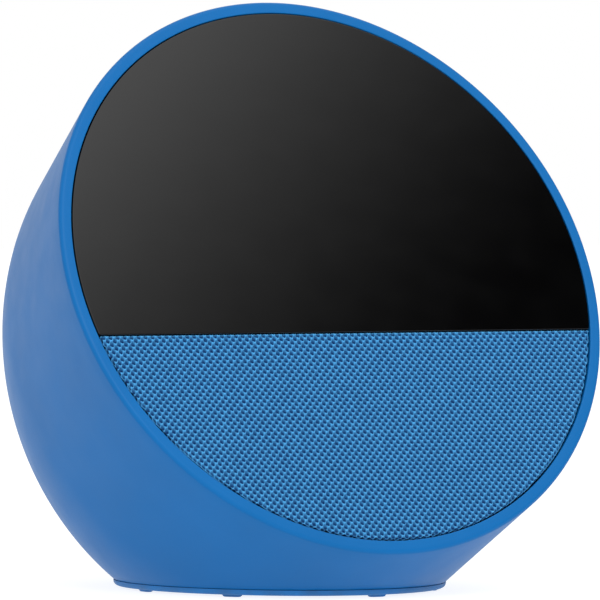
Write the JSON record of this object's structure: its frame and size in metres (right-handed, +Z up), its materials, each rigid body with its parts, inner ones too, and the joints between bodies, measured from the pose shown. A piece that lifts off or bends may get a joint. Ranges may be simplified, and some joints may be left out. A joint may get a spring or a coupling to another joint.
{
  "type": "smart display",
  "caption": "Compact ball-shaped smart display with a leaning round face: touch display above, knitted speaker grille below, push buttons on top.",
  "frame": {"origin": "under the middle of the object's box, on the surface that it stands on", "axes": "+Z up, the face looks towards -Y and leans back, +X is the viewer's right, which is the widest direction"},
  "size_m": [0.1128, 0.1033, 0.1104],
  "materials": {
    "housing_blue": "fine satin texture, blue",
    "base_blue": "matte, darker blue",
    "button_blue": "satin, blue",
    "glass_black": "polished, opaque black with the display off",
    "knit_blue": "open knit of light blue yarn over dark",
    "frame_black": "matte black",
    "frame_grey": "matte grey",
    "foam_black": "foam",
    "panel_grey": "smooth",
    "steel": "plain",
    "screw_steel": "zinc plated",
    "dark_steel": "black coated",
    "ferrite": "ground ferrite",
    "paper_black": "pressed paper pulp",
    "rubber_black": "soft rubber",
    "spider_yellow": "resin-treated cloth",
    "copper": "enamelled copper wire",
    "board_green": "solder mask",
    "flex_orange": "polyimide film",
    "thermal_grey": "soft gap filler",
    "aluminium": "satin",
    "cable_black": "soft sheath",
    "brass": "nickel-free bright"
  },
  "bodies": {
    "housing": {"rear_shell": "housing_blue", "base_pad": "base_blue", "cover_glass": "glass_black", "grille_fabric": "knit_blue", "grille_frame": "frame_black", "front_chassis": "frame_black", "base_plate": "frame_black", "dc_jack_housing": "frame_black", "speaker_enclosure": "frame_grey", "display_gasket": "foam_black", "speaker_gasket": "foam_black", "display_panel": "panel_grey", "display_tray": "steel", "processor_shield": "steel", "speaker_top_plate": "steel", "speaker_yoke": "steel", "microphone_left": "steel", "microphone_right": "steel", "speaker_basket": "dark_steel", "speaker_magnet": "ferrite", "speaker_surround": "rubber_black", "speaker_spider": "spider_yellow", "main_board": "board_green", "button_board": "board_green", "power_board": "board_green", "display_flex": "flex_orange", "button_flex": "flex_orange", "thermal_pad": "thermal_grey", "heat_spreader": "aluminium", "speaker_cable": "cable_black", "power_cable": "cable_black", "dc_jack_pin": "brass", "volume_down_switch": "frame_black", "volume_up_switch": "frame_black", "mic_off_switch": "frame_black", "chassis_screw_1": "screw_steel", "chassis_screw_2": "screw_steel", "chassis_screw_3": "screw_steel", "chassis_screw_4": "screw_steel", "speaker_screw_1": "screw_steel", "speaker_screw_2": "screw_steel", "speaker_screw_3": "screw_steel", "speaker_screw_4": "screw_steel", "base_screw_1": "screw_steel", "base_screw_2": "screw_steel", "base_screw_3": "screw_steel", "base_screw_4": "screw_steel", "main_board_screw_1": "screw_steel", "main_board_screw_2": "screw_steel", "main_board_screw_3": "screw_steel", "main_board_screw_4": "screw_steel", "button_board_screw_1": "screw_steel", "button_board_screw_2": "screw_steel", "power_board_screw": "screw_steel"},
    "volume_down": {"volume_down_button": "button_blue"},
    "volume_up": {"volume_up_button": "button_blue"},
    "mic_off": {"mic_off_button": "button_blue"},
    "diaphragm": {"speaker_cone": "paper_black", "speaker_dust_cap": "paper_black", "speaker_coil": "copper"}
  },
  "joints": [
    {"name": "volume_down_press", "type": "slide", "parent": "housing", "child": "volume_down", "axis": [0, -0.4845, -0.8748], "range_m": [0, 0.0005], "stiffness_N_per_m": 2500},
    {"name": "volume_up_press", "type": "slide", "parent": "housing", "child": "volume_up", "axis": [0, -0.4845, -0.8748], "range_m": [0, 0.0005], "stiffness_N_per_m": 2500},
    {"name": "mic_off_press", "type": "slide", "parent": "housing", "child": "mic_off", "axis": [0, -0.4845, -0.8748], "range_m": [0, 0.0005], "stiffness_N_per_m": 2500},
    {"name": "speaker_stroke", "type": "slide", "parent": "housing", "child": "diaphragm", "axis": [0, -0.8983, 0.4393], "range_m": [-0.0012, 0.0012], "stiffness_N_per_m": 1500, "deforming": ["speaker_surround", "speaker_spider"]}
  ]
}
